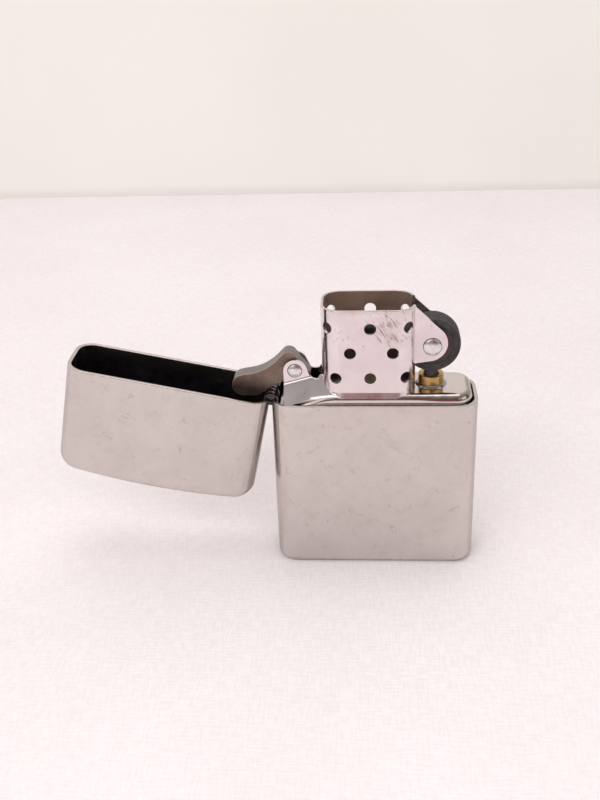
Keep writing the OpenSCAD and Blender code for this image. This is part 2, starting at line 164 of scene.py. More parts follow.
def upright(x, y=0, z=0):
    return Matrix.Translation((x, y, z))


def lying(x, y, z):
    """Turns a lathe's axis to run front to back."""
    return Matrix.Translation((x, y, z)) @ Matrix.Rotation(pi / 2, 4, "X")


def add_object(name, data):
    thing = bpy.data.objects.new(name, data)
    bpy.context.scene.collection.objects.link(thing)
    return thing


def add_mesh(name, parts, materials=(), unit=MM):
    """A mesh object from (vertices, faces)."""
    verts, faces = parts
    mesh = bpy.data.meshes.new(name)
    mesh.from_pydata([Vector(v) * unit for v in verts], [], faces)
    for material in materials:
        mesh.materials.append(material)
    return add_object(name, mesh)


def build(name, parts, body, materials, index=None, weld=WELD):
    """A piece that rides on a CAD body. Index gives each face's material."""
    piece = add_mesh(name, parts, materials)
    if index:
        piece.data.polygons.foreach_set("material_index", index)
    clean(piece, weld)
    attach(piece, body)
    return piece


def clean(piece, weld=WELD):
    """Joins points that coincide and drops faces that have collapsed."""
    work = bmesh.new()
    work.from_mesh(piece.data)
    bmesh.ops.remove_doubles(work, verts=work.verts, dist=weld * MM)
    bmesh.ops.dissolve_degenerate(work, edges=work.edges, dist=0.5 * weld * MM)
    bmesh.ops.recalc_face_normals(work, faces=work.faces)
    work.to_mesh(piece.data)
    work.free()


def shade(piece, sharp=35):
    """Smooth shading that keeps real edges crisp and flat faces flat."""
    piece.data.polygons.foreach_set("use_smooth", [True] * len(piece.data.polygons))
    piece.data.set_sharp_from_angle(angle=radians(sharp))
    piece.modifiers.new("weighted", "WEIGHTED_NORMAL").keep_sharp = True


def stands_for(node):
    """Hides the CAD node that a piece stands in for."""
    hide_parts(node)


def bake(piece):
    """Makes the piece's modifiers part of its mesh."""
    graph = bpy.context.evaluated_depsgraph_get()
    mesh = bpy.data.meshes.new_from_object(piece.evaluated_get(graph), depsgraph=graph)
    piece.modifiers.clear()
    piece.data = mesh


def cut(piece, cutter_parts, operation="DIFFERENCE"):
    """Takes each cutter away from the piece, or adds it."""
    cutters = [add_mesh("cutter", parts) for parts in cutter_parts]
    for cutter in cutters:
        clean(cutter)
        modifier = piece.modifiers.new("cut", "BOOLEAN")
        modifier.object = cutter
        modifier.operation = operation
        modifier.solver = "MANIFOLD" if operation == "UNION" else "EXACT"
    bpy.context.view_layer.update()
    bake(piece)
    for cutter in cutters:
        bpy.data.objects.remove(cutter)


def block(low, high):
    """Vertices and faces of a rectangular cutter."""
    xs, ys, zs = zip(low, high)
    verts = [(x, y, z) for x in xs for y in ys for z in zs]
    faces = [(0, 1, 3, 2), (4, 6, 7, 5), (0, 4, 5, 1), (2, 3, 7, 6), (0, 2, 6, 4), (1, 5, 7, 3)]
    return verts, faces


@functools.cache
def smooth_shading():
    """Geometry nodes that shade every face smooth."""
    tree = bpy.data.node_groups.new("smooth_shading", "GeometryNodeTree")
    for direction in ("INPUT", "OUTPUT"):
        tree.interface.new_socket("Geometry", in_out=direction, socket_type="NodeSocketGeometry")
    start, end = tree.nodes.new("NodeGroupInput"), tree.nodes.new("NodeGroupOutput")
    smooth = tree.nodes.new("GeometryNodeSetShadeSmooth")
    tree.links.new(start.outputs[0], smooth.inputs["Geometry"])
    tree.links.new(smooth.outputs[0], end.inputs[0])
    return tree


def bevel_edges(piece, width, angle):
    """Rounds the edges that turn by more than angle."""
    bevel = piece.modifiers.new("bevel", "BEVEL")
    bevel.width = width * MM
    bevel.segments = 2
    bevel.limit_method = "ANGLE"
    bevel.angle_limit = radians(angle)


def dress(node, material, edge):
    """Gives a CAD part its finish and rounds its edges, after joining the triangles it is made of."""
    piece = frame["nodes"][node]
    piece.data.materials.clear()
    piece.data.materials.append(material)
    piece.modifiers.new("weld", "WELD").merge_threshold = 0.001 * MM
    flat = piece.modifiers.new("flat", "DECIMATE")
    flat.decimate_type = "DISSOLVE"
    flat.angle_limit = radians(0.6)
    bevel_edges(piece, edge, 35)
    piece.modifiers.new("smooth", "NODES").node_group = smooth_shading()
    piece.modifiers.new("weighted", "WEIGHTED_NORMAL").keep_sharp = True


# ---- materials ----

class Finish:
    """A node material, with short names for the nodes that the finishes share. Lengths are millimetres."""

    def __init__(self, name):
        self.material = bpy.data.materials.new(name)
        self.material.use_nodes = True
        self.tree = self.material.node_tree
        self.surface = self.tree.nodes["Principled BSDF"]
        place = self.add("ShaderNodeTexCoord")
        self.place = self.add("ShaderNodeVectorMath", (place.outputs["Object"],), operation="SCALE")
        self.place.inputs["Scale"].default_value = 1 / MM

    def add(self, kind, inputs=(), **settings):
        node = self.tree.nodes.new(kind)
        for key, value in settings.items():
            setattr(node, key, value)
        for i, value in enumerate(inputs):
            self.feed(node.inputs[i], value)
        return node

    def feed(self, socket, value):
        """Sets an input to a number or a colour, or links it to a node's output."""
        if isinstance(value, bpy.types.NodeSocket):
            self.tree.links.new(value, socket)
        elif value is not None:
            if isinstance(value, tuple) and len(value) == 3 and socket.type == "RGBA":
                value = (*value, 1)
            socket.default_value = value

    def set(self, **values):
        """Feeds the surface's inputs, named with _ for each space."""
        for key, value in values.items():
            self.feed(self.surface.inputs[key.replace("_", " ")], value)

    def stretched(self, scale, turn=(0, 0, 0)):
        """Coordinates turned and then scaled along each axis."""
        mapping = self.add("ShaderNodeMapping", vector_type="TEXTURE")
        self.feed(mapping.inputs["Vector"], self.place.outputs[0])
        mapping.inputs["Rotation"].default_value = [radians(a) for a in turn]
        mapping.inputs["Scale"].default_value = [1 / s for s in scale]
        return mapping.outputs[0]

    def noise(self, size, detail=3, rough=0.5, stretch=(1, 1, 1), turn=(0, 0, 0), warp=0):
        """Noise whose blotches are about size across."""
        node = self.add("ShaderNodeTexNoise")
        self.feed(node.inputs["Vector"], self.stretched([s / size for s in stretch], turn))
        for key, value in (("Scale", 1), ("Detail", detail), ("Roughness", rough), ("Distortion", warp)):
            node.inputs[key].default_value = value
        return node.outputs["Fac"]

    def between(self, value, low, high, to_low=0, to_high=1):
        """Maps low..high to to_low..to_high, and holds the ends."""
        node = self.add("ShaderNodeMapRange", (value, low, high, to_low, to_high))
        return node.outputs[0]

    def sum(self, a, b, operation="ADD"):
        return self.add("ShaderNodeMath", (a, b), operation=operation).outputs[0]

    def times(self, a, b):
        return self.sum(a, b, "MULTIPLY")

    def mix(self, share, a, b):
        node = self.add("ShaderNodeMix", data_type="RGBA")
        for name, value in (("Factor", share), ("A", a), ("B", b)):
            sockets = [s for s in node.inputs if s.name == name and s.enabled]
            self.feed(sockets[0], value)
        return next(s for s in node.outputs if s.enabled)

    def mottled(self, pattern, a, b, low=0.35, high=0.65):
        """Colour a where the pattern is low and b where it is high."""
        return self.mix(self.between(pattern, low, high), a, b)

    def tone(self):
        """The colour given to the surface so far."""
        return self.surface.inputs["Base Color"].links[0].from_socket

    def axis(self, name):
        split = self.add("ShaderNodeSeparateXYZ", (self.place.outputs[0],))
        return split.outputs[name]

    def bump(self, height, depth):
        """Raises the surface by depth where height is 1."""
        node = self.add("ShaderNodeBump")
        node.inputs["Distance"].default_value = depth * MM
        node.inputs["Strength"].default_value = 1
        self.feed(node.inputs["Height"], height)
        before = self.surface.inputs["Normal"]
        if before.is_linked:
            self.feed(node.inputs["Normal"], before.links[0].from_socket)
        self.feed(before, node.outputs[0])

    def distance(self, a, b):
        return self.add("ShaderNodeVectorMath", (a, b), operation="DISTANCE").outputs["Value"]

    def near(self, spot, reach):
        """1 close to a point, fading to 0 at reach."""
        return self.between(self.distance(self.place.outputs[0], spot), reach, 0.3 * reach)

    def around(self, joint):
        """Distance from a joint's axis that runs front to back."""
        axis = pivot(joint)
        level = self.add("ShaderNodeCombineXYZ", (self.axis("X"), 0.0, self.axis("Z")))
        return self.distance(level.outputs[0], (axis.x, 0, axis.z))

    def scratches(self, width, length, turn, share=0.5):
        """1 along fine scratches that run one way across the front and back, in patches."""
        lines = self.noise(1, 3, 0.55, (0.5 / width, 0.1, 1 / length), (0, turn, 0), warp=0.3)
        thin = self.between(lines, 0.64, 0.70)
        patches = self.between(self.noise(5, 3), 0.62 - 0.3 * share, 0.72 - 0.3 * share)
        return self.times(thin, patches)

    def facing(self, axis):
        """Share of the surface's direction that points along an axis."""
        geometry = self.add("ShaderNodeNewGeometry")
        return self.add("ShaderNodeSeparateXYZ", (geometry.outputs["True Normal"],)).outputs[axis]

    def hairlines(self, size, width, turn):
        """1 along long, slightly wandering scratches, in patches: contour lines of a stretched noise."""
        lines = self.noise(size, 2, 0.5, (1, 1, 0.18), (0, turn, 0), warp=0.4)
        away = self.sum(self.sum(lines, 0.5, "SUBTRACT"), 0, "ABSOLUTE")
        line = self.between(away, width / size, 0.3 * width / size)
        return self.times(line, self.between(self.noise(3, 3), 0.52, 0.62))

    def grazing(self):
        """Rises to 1 where the surface turns away from the eye."""
        layer = self.add("ShaderNodeLayerWeight")
        layer.inputs["Blend"].default_value = 0.5
        return self.between(layer.outputs["Facing"], 0.42, 0.92)

    def edge_wear_and_highlight(self, radius=0.25):
        """1 on convex edges, from the difference between the bevelled and the true normal; used for edge
        wear and for painted edge highlights.
        """
        bevel = self.add("ShaderNodeBevel", samples=4)
        bevel.inputs["Radius"].default_value = radius * MM
        geometry = self.add("ShaderNodeNewGeometry")
        dot = self.add("ShaderNodeVectorMath", (bevel.outputs[0], geometry.outputs["Normal"]),
                       operation="DOT_PRODUCT")
        return self.between(dot.outputs["Value"], 0.998, 0.96)


def satin_steel():
    """Brushed case steel, cloudy with handling and crossed by fine scratches, with a painted dark outline
    where it turns away from the eye.
    """
    f = Finish("satin_steel")
    cloud = f.noise(9, 5, 0.6, warp=0.5)
    blotch = f.noise(2.4, 4, 0.65)
    grain = f.noise(0.12, 3, 0.6, (1, 1, 0.08))
    hair = f.sum(f.hairlines(2.4, 0.03, 35), f.hairlines(2, 0.025, -60), "MAXIMUM")
    scuffs = f.sum(hair, f.scratches(0.10, 1.4, 50), "MAXIMUM")
    tone = f.mottled(cloud, (0.585, 0.54, 0.518), (0.645, 0.598, 0.575))
    tone = f.mix(f.between(blotch, 0.54, 0.74, 0, 0.32), tone, (0.47, 0.41, 0.37))
    tone = f.mix(f.times(scuffs, 0.42), tone, (0.36, 0.29, 0.25))
    # Painted shade: a dark outline, darker where the steel turns away from the eye.
    tone = f.mix(f.times(f.grazing(), 0.7), tone, (0.22, 0.205, 0.20))
    f.set(Base_Color=tone, Metallic=1.0)
    rough = f.between(f.sum(cloud, f.sum(blotch, grain)), 1.1, 1.9, 0.17, 0.28)
    f.set(Roughness=rough)
    f.bump(grain, 0.0006)
    f.bump(f.times(scuffs, -1), 0.0008)
    return f.material


def dark_inside():
    """Unpolished inside of the case and lid, near-black and mottled, with bright specks."""
    f = Finish("dark_inside")
    cloud = f.noise(4, 5, 0.6)
    specks = f.between(f.noise(0.35, 2, 0.5), 0.70, 0.76)
    # Near-black, mottled base.
    tone = f.mottled(cloud, (0.012, 0.011, 0.018), (0.045, 0.036, 0.044), high=0.7)
    tone = f.mix(f.times(specks, 0.5), tone, (0.22, 0.16, 0.12))
    f.set(Base_Color=tone, Metallic=0.85, Roughness=f.between(cloud, 0.3, 0.7, 0.3, 0.5))
    f.bump(cloud, 0.004)
    return f.material


def insert_steel(name="insert_steel"):
    """Polished insert steel with fine scratches. Returned as a Finish, so that others can build on it."""
    f = Finish(name)
    cloud = f.noise(5, 4, 0.6, warp=0.4)
    fine = f.sum(f.scratches(0.08, 2.0, 30, 0.3), f.scratches(0.07, 1.4, -40, 0.2), "MAXIMUM")
    tone = f.mottled(cloud, (0.72, 0.645, 0.655), (0.80, 0.725, 0.74))
    tone = f.mix(f.times(fine, 0.65), tone, (0.30, 0.21, 0.17))
    f.set(Base_Color=tone, Metallic=1.0)
    f.set(Roughness=f.between(f.sum(cloud, fine), 0.3, 1.2, 0.13, 0.34))
    f.bump(f.times(fine, -1), 0.0012)
    f.bump(f.noise(2.5, 2), 0.004)
    return f


def chimney_steel():
    """Insert steel that is rubbed near the top and browned at the rim by the flame."""
    f = insert_steel("chimney_steel")
    tone = f.tone()
    rubbed = f.noise(1, 4, 0.6, (5, 0.1, 0.6), (0, -32, 0), warp=0.5)
    patch = f.times(f.near((2.6, CHIMNEY_LOW[1], 49.2), 5.5), f.noise(1.6, 4, 0.6))
    marks = f.between(f.sum(rubbed, f.times(patch, 0.3)), 0.67, 0.76)
    tone = f.mix(f.between(patch, 0.35, 0.7, 0, 0.4), tone, (0.42, 0.31, 0.26))
    tone = f.mix(f.times(marks, 0.8), tone, (0.17, 0.11, 0.08))
    rim = f.sum(f.axis("Z"), f.times(f.noise(2.5, 4), 3))
    top = box("chimney")[1].z
    f.set(Base_Color=f.mix(f.between(rim, top + 0.6, top + 2.2, 0, 0.4), tone, (0.40, 0.25, 0.18)))
    f.bump(f.times(marks, -1), 0.0015)
    return f.material


def deck_steel():
    """The insert's top: painted greyer all over for the grey it reflects (painted reflection), and darker
    round its rolled edge, partly grime and partly painted shade.
    """
    f = insert_steel("deck_steel")
    tone = f.tone()
    up = f.facing("Z")
    # Painted reflection: greyer all over, for the grey that the flat top reflects.
    tone = f.mix(0.75, tone, (0.63, 0.60, 0.56))
    # Painted shade round the rolled edge, where the top slopes down to its walls, partly grime.
    edge = f.times(f.between(up, 0.30, 0.55), f.between(up, 0.985, 0.95))
    edge_grime_and_shade = f.times(edge, f.between(f.noise(1.2, 5, 0.65), 0.3, 0.6, 0.5, 0.85))
    f.set(Base_Color=f.mix(edge_grime_and_shade, tone, (0.27, 0.22, 0.20)))
    return f.material


def sooty_steel():
    """Inside of the chimney, browned by the flame and sooty near the wick."""
    f = Finish("sooty_steel")
    cloud = f.noise(3, 5, 0.65, warp=0.5)
    tone = f.mottled(cloud, (0.42, 0.335, 0.29), (0.56, 0.47, 0.41))
    browned = f.between(f.noise(4.5, 3, 0.5, (1, 1, 0.5)), 0.42, 0.6, 0, 0.75)
    tone = f.mix(browned, tone, (0.50, 0.33, 0.25))
    soot = f.between(f.sum(f.axis("Z"), f.times(cloud, 8)), 42, 55, 0.8, 0)
    tone = f.mix(soot, tone, (0.05, 0.04, 0.035))
    f.set(Base_Color=tone, Metallic=0.9, Roughness=f.between(cloud, 0.3, 0.7, 0.42, 0.6))
    f.bump(cloud, 0.006)
    return f.material


def cam_steel():
    """Dark browned steel, with painted light: upward faces painted lighter grey, downward faces painted
    near-black, and a painted highlight along its edges, partly wear.
    """
    f = Finish("cam_steel")
    cloud = f.noise(2.2, 5, 0.65)
    grain = f.noise(0.18, 3, 0.6)
    tone = f.mottled(cloud, (0.17, 0.125, 0.10), (0.25, 0.19, 0.155))
    # Painted light: upward faces lighter grey.
    top = f.between(f.facing("Z"), 0.2, 0.8)
    tone = f.mix(top, tone, (0.24, 0.22, 0.21))
    # Painted shade: downward faces near-black.
    tone = f.mix(f.between(f.facing("Z"), -0.1, -0.7), tone, (0.02, 0.016, 0.018))
    # Painted highlight along the edges, partly wear.
    tone = f.mix(f.edge_wear_and_highlight(0.13), tone, (0.62, 0.52, 0.45))
    f.set(Base_Color=tone, Metallic=0.9, Roughness=f.between(grain, 0.3, 0.7, 0.34, 0.48))
    f.bump(f.sum(grain, cloud), 0.01)
    return f.material


def wheel_steel():
    """Blackened hard steel, lighter on the teeth and edges: flint dust and wear, partly a painted
    highlight.
    """
    f = Finish("wheel_steel")
    cloud = f.noise(1.2, 5, 0.65)
    grain = f.noise(0.12, 3, 0.6)
    tone = f.mottled(cloud, (0.040, 0.036, 0.037), (0.085, 0.074, 0.076), high=0.7)
    tone = f.mix(f.between(f.around("wheel_spin"), 3.9, 3.5), tone, (0.085, 0.058, 0.062))
    # Lighter along teeth and edges: flint dust and wear, partly a painted highlight.
    tone = f.mix(f.times(f.edge_wear_and_highlight(0.15), 0.5), tone, (0.20, 0.185, 0.18))
    f.set(Base_Color=tone, Metallic=0.6, Roughness=f.between(grain, 0.3, 0.7, 0.5, 0.7))
    f.bump(grain, 0.012)
    return f.material


def rivet_steel(joint, head):
    """Bright rivet head, with a dark ring round its edge."""
    f = Finish("rivet_steel")
    cloud = f.noise(0.8, 4, 0.6)
    tone = f.mottled(cloud, (0.70, 0.69, 0.68), (0.82, 0.81, 0.80), high=0.7)
    # A darker ring round the head's edge.
    dark_ring = f.between(f.sum(f.around(joint), f.times(cloud, 0.1)), head + 0.02, head + 0.1)
    tone = f.mix(dark_ring, tone, (0.05, 0.04, 0.038))
    f.set(Base_Color=tone, Metallic=1.0, Roughness=f.between(cloud, 0.3, 0.7, 0.2, 0.34))
    f.bump(f.noise(0.5, 2), 0.0003)
    return f.material


def hinge_steel():
    """Hinge barrel and leaves, painted near-black for the shade they sit in, with a painted highlight
    along their edges, partly wear.
    """
    f = Finish("hinge_steel")
    cloud = f.noise(1.0, 5, 0.65)
    # Painted shade: near-black base for the dark gap the hinge sits in.
    tone = f.mottled(cloud, (0.022, 0.018, 0.018), (0.08, 0.07, 0.068))
    # Painted highlight along the edges, partly wear.
    tone = f.mix(f.times(f.edge_wear_and_highlight(0.12), 0.7), tone, (0.45, 0.42, 0.41))
    f.set(Base_Color=tone, Metallic=0.95, Roughness=f.between(cloud, 0.3, 0.7, 0.16, 0.32))
    f.bump(cloud, 0.006)
    return f.material


def spring_steel():
    """Plain bright spring wire and leaf."""
    f = Finish("spring_steel")
    cloud = f.noise(0.9, 4, 0.6)
    tone = f.mottled(cloud, (0.42, 0.40, 0.39), (0.60, 0.57, 0.55))
    f.set(Base_Color=tone, Metallic=1.0, Roughness=f.between(cloud, 0.3, 0.7, 0.22, 0.4))
    f.bump(f.noise(0.15, 2), 0.002)
    return f.material


def brass():
    """Turned brass, tarnished in patches."""
    f = Finish("brass")
    cloud = f.noise(1.6, 4, 0.6, warp=0.3)
    turned = f.noise(0.1, 2, 0.5, (0.05, 0.05, 1))
    tone = f.mottled(cloud, (0.48, 0.30, 0.11), (0.66, 0.45, 0.18), high=0.68)
    tone = f.mix(f.between(f.noise(0.7, 4), 0.5, 0.72, 0, 0.7), tone, (0.26, 0.14, 0.05))
    f.set(Base_Color=tone, Metallic=1.0, Roughness=f.between(turned, 0.3, 0.7, 0.26, 0.4))
    f.bump(turned, 0.003)
    return f.material


def flint_stone():
    """Dark grainy flint rod."""
    f = Finish("flint_stone")
    grain = f.noise(0.25, 5, 0.7)
    tone = f.mottled(grain, (0.05, 0.05, 0.053), (0.14, 0.135, 0.135))
    f.set(Base_Color=tone, Metallic=0.5, Roughness=f.between(grain, 0.3, 0.7, 0.5, 0.75))
    f.bump(grain, 0.02)
    return f.material


def fibre(name, light, dark, size):
    """Felt, cotton or cord: tangled fibres over soft mottling."""
    f = Finish(name)
    tangle = f.noise(size, 6, 0.75, warp=1.5)
    mottle = f.noise(size * 12, 4, 0.6)
    tone = f.mix(f.between(f.sum(tangle, mottle), 0.75, 1.25), dark, light)
    f.set(Base_Color=tone, Roughness=f.between(tangle, 0.3, 0.7, 0.85, 1.0), Sheen_Weight=0.4)
    f.bump(tangle, size * 0.5)
    return f


def wick_fibre():
    """Cream cord that is charred towards its tip."""
    f = fibre("wick_fibre", (0.62, 0.54, 0.42), (0.38, 0.30, 0.21), 0.12)
    clean = f.tone()
    tip = box("wick")[1].z
    height = f.sum(f.axis("Z"), f.times(f.noise(0.8, 3), 2))
    f.set(Base_Color=f.mix(f.between(height, tip - 6, tip - 1.5), clean, (0.012, 0.010, 0.009)))
    return f.material


def cloth():
    """Pale pinkish tablecloth with a fine plain weave, with a painted shadow where someone leans over it.
    """
    f = Finish("cloth")
    f.surface.inputs["Specular IOR Level"].default_value = 0.1
    weave = f.sum(f.noise(0.45, 2, 0.5, (1, 0.15, 1)), f.noise(0.45, 2, 0.5, (0.15, 1, 1)))
    mottle = f.noise(60, 4, 0.55)
    tone = f.mottled(mottle, (0.845, 0.80, 0.81), (0.88, 0.84, 0.85))
    tone = f.mix(f.between(weave, 0.8, 1.2, 0, 0.28), tone, (0.71, 0.62, 0.64))
    # Painted shadow of whoever leans over the table, in front of the lighter, out of the camera's view but
    # seen in the metal.
    tone = f.mix(f.times(f.near((5, -108, 0), 42), 0.6), tone, (0.72, 0.63, 0.65))
    f.set(Base_Color=tone, Roughness=f.between(weave, 0.8, 1.2, 0.85, 0.95))
    f.bump(weave, 0.09)
    return f.material


def plaster():
    """Pale wall, with painted shade along its foot where it meets the table."""
    f = Finish("plaster")
    f.surface.inputs["Specular IOR Level"].default_value = 0.1
    mottle = f.noise(90, 4, 0.5)
    tone = f.mottled(mottle, (0.83, 0.81, 0.775), (0.86, 0.84, 0.81))
    # Painted shade: greyer towards the foot of the wall.
    tone = f.mix(f.between(f.axis("Z"), 4.5, 0.5, 0, 0.35), tone, (0.62, 0.56, 0.54))
    f.set(Base_Color=tone, Roughness=f.between(f.noise(3, 3), 0.3, 0.7, 0.85, 0.95))
    return f.material


def shirt_cloth():
    """Dark red, uneven, seen only as a reflection."""
    f = Finish("shirt_card")
    f.set(Base_Color=f.mix(f.noise(50, 3), (0.25, 0.08, 0.09), (0.2, 0.064, 0.072)), Roughness=0.9)
    return f.material


# ---- case and lid ----

def hinge_opening():
    """The opening in an end wall that the hinge barrel sits in."""
    axis = pivot("lid_hinge")
    low, high = box("hinge_pin")
    half_y = (high.y - low.y) / 2 + 0.45
    out, into, reach = 2, 1.3, 1.27
    return block((axis.x - out, -half_y, axis.z - reach), (axis.x + into, half_y, axis.z + reach))


def make_case(outside, inside):
    """Drawn steel case: outer wall, rolled rim, inner wall and floor, in one closed skin."""
    low, high = box("case_bottom")
    loop = rounded_loop(low, high, CORNER)
    top, foot = high.z, ring(loop, FOOT, low.z)
    rings = [shrink(foot, share) for share in (0, 0.35, 0.7, 0.92)]
    rings += [ring(loop, i, low.z + d) for i, d in quarter_round(FOOT, 8, reverse=True)]
    rings += [ring(loop, 0, low.z + FOOT + (top - low.z - FOOT) * k / 8) for k in range(1, 8)]
    rings += [ring(loop, i, top - d) for i, d in quarter_round(RIM)]
    rings += [ring(loop, WALL - i, top - d) for i, d in quarter_round(RIM, reverse=True)]
    outside_rings = len(rings) - 1
    inner = FOOT - WALL
    rings += [ring(loop, WALL, low.z + FOOT + (top - low.z - FOOT) * k / 6) for k in range(5, 0, -1)]
    rings += [ring(loop, WALL + i, low.z + WALL + d) for i, d in quarter_round(inner, 6)]
    rings += [shrink(rings[-1], share) for share in (0.9, 0.5, 0)]
    parts = skin(rings)
    index = [int(i // len(loop) >= outside_rings) for i in range(len(parts[1]))]
    piece = build("case_bottom_shell", parts, "case", [outside, inside], index)
    cut(piece, [hinge_opening()])
    shade(piece)
    stands_for("case_bottom")


def lid_opening():
    """The motion that swings the shut lid to where the open lid rests."""
    joint = joints["lid_hinge"]
    there = Matrix.Translation(pivot("lid_hinge"))
    turn = Matrix.Rotation(-radians(joint["range_deg"][0]), 4, Vector(joint["axis"]))
    return there @ turn @ there.inverted()


def make_lid(outside, inside):
    """Drawn steel lid, shaped shut and then swung open, with a bowed top."""
    opening = lid_opening()
    shutting = opening.inverted()
    shut = [shutting @ (v.co / MM) for v in frame["nodes"]["lid_shell"].data.vertices]
    low = Vector([min(p[k] for p in shut) for k in range(3)])
    high = Vector([max(p[k] for p in shut) for k in range(3)])
    bow = 1.34                                     # rise of the top's middle over its ends
    bow_radius = (high.x ** 2 + bow ** 2) / (2 * bow)

    def top(x, depth=0):
        return high.z - bow_radius + sqrt((bow_radius - depth) ** 2 - x * x)

    def edge(normal, depth=0):
        """Rounding between wall and top: softer at the two ends than front and back."""
        return 1.2 + normal.x ** 2 - depth

    def shoulder(angle, depth):
        """One ring round the top's edge, depth inside the outer surface."""
        loop_points = []
        for point, normal in loop:
            radius = edge(normal, depth)
            centre = point - normal * (depth + radius)
            spot = centre + normal * radius * cos(angle)
            z = top(spot.x, depth) - radius * (1 - sin(angle))
            loop_points.append(Vector((spot.x, spot.y, z)))
        return loop_points

    loop = rounded_loop(low, high, CORNER)
    wall_top = shoulder(0, 0)
    inner_top = shoulder(0, WALL)
    levels = 7

    def wall(outline, k):
        rim = low.z + RIM
        return [Vector((p.x, p.y, rim + (p.z - rim) * k / levels)) for p in outline]

    crown = shoulder(pi / 2, 0)
    inner_crown = shoulder(pi / 2, WALL)
    shares = (0.9, 0.7, 0.45, 0.2, 0)
    rings = [shrink(inner_crown, s, lambda x: top(x, WALL)) for s in shares[::-1]]
    rings += [shoulder(pi / 2 * (1 - i / 6), WALL) for i in range(7)]
    rings += [wall(inner_top, k) for k in range(levels - 1, 0, -1)]
    inside_rings = len(rings) - 1
    rings += [ring(loop, WALL - i, low.z + d) for i, d in quarter_round(RIM)]
    rings += [ring(loop, i, low.z + d) for i, d in quarter_round(RIM, reverse=True)]
    rings += [wall(wall_top, k) for k in range(1, levels)]
    rings += [shoulder(pi / 2 * i / 8, 0) for i in range(9)]
    rings += [shrink(crown, s, top) for s in shares]
    parts = skin(rings)
    index = [int(i // len(loop) < inside_rings) for i in range(len(parts[1]))]
    piece = build("lid_case_shell", parts, "lid", [outside, inside], index)
    cut(piece, [hinge_opening()])
    piece.data.transform(Matrix.Scale(MM, 4) @ opening @ Matrix.Scale(1 / MM, 4))
    shade(piece)
    stands_for("lid_shell")


# ---- insert ----

def soft_step(x, width=0.5):
    """Rises like x above 0 and stays near 0 below it, with a rounded corner."""
    return (x + sqrt(x * x + width * width)) / 2


def deck_height(x, depth=0.0):
    """Top of the insert, level under the chimney and sloping down beside the hinge."""
    level = box("insert_top")[1].z - depth
    return level - RAMP_SLOPE * soft_step(RAMP_START - x) - 0.6 * soft_step(RAMP_END - x, 0.3)


def drum(place, radius, length, steps=32):
    """Vertices and faces of a round cutter, centred on place and lying along its Z axis."""
    profile = [(0, -length / 2), (radius, -length / 2), (radius, length / 2), (0, length / 2)]
    return skin(lathe(profile, place, steps))


def make_insert_top(material):
    """Formed top of the insert, with its rolled edge and the holes for the wick and the flint tube."""
    low, high = box("insert_top")
    loop = rounded_loop(low, high, 3.1, along_x=44)

    def edge(x):
        """Rounding of the top's edge, fuller beside the hinge."""
        share = min(max((-7 - x) / 5, 0), 1)
        far = min(max((x - 8) / 4, 0), 1)
        return 1.1 + 0.8 * share * share * (3 - 2 * share) + 0.35 * far

    def under(x):
        return deck_height(x, SHEET)

    def band(inset, drop, depth):
        """A ring round the edge, depth inside the surface; inset and drop are shares of its rounding."""
        return ring(loop, lambda x, n: depth + inset * (edge(x) - depth),
                    lambda x: deck_height(x, depth) - drop * (edge(x) - depth))

    brim, inner_brim = band(1, 0, 0), band(1, 0, SHEET)
    shares = (0, 0.3, 0.6, 0.85, 0.95)
    rings = [shrink(inner_brim, share, under) for share in shares]
    rings += [band(i, d, SHEET) for i, d in quarter_round(1, 5, reverse=True)]
    rings += [ring(loop, SHEET, low.z), ring(loop, 0, low.z)]
    rings += [band(i, d, 0) for i, d in quarter_round(1, 10)]
    rings += [shrink(brim, share, deck_height) for share in shares[::-1]]
    piece = build("insert_top_shell", skin(rings), "insert", [material])
    holes = []
    for node, radius in (("wick", 1.55), ("flint_tube", 2.2)):
        middle = (box(node)[0] + box(node)[1]) / 2
        holes.append(drum(upright(middle.x, middle.y, high.z), radius, 3, 48))
    cut(piece, holes)
    shade(piece)
    stands_for("insert_top")


def touch(point, centre, radius, side):
    """Angle on a circle where a line from point touches it."""
    away = Vector(point) - Vector(centre)
    return side * acos(radius / away.length) - Vector((1, 0)).angle_signed(away)


def arc(centre, radius, start, end, steps=24):
    turns = [start + (end - start) * i / steps for i in range(steps + 1)]
    return [(centre[0] + radius * cos(a), centre[1] + radius * sin(a)) for a in turns]


def wheel_ear(side):
    """Plate that runs from the chimney's corner to the wheel's rivet."""
    tip, radius = (9.75, 45.6), 3.5
    root, start = 6.8, 7.3
    top, low = 52.7, 41.7
    first = touch((start, top), tip, radius, -1)
    last = touch((start, low), tip, radius, 1)
    outline = [(root, top), (start, top), *arc(tip, radius, first, last), (start, low), (root, low)]
    outer = 2.75
    faces = [[Vector((x, side * y, z)) for x, z in outline] for y in (outer, outer - SHEET)]
    verts, quads = skin(faces)
    count = len(outline)
    return verts, quads + [tuple(range(count)), tuple(range(count, 2 * count))]


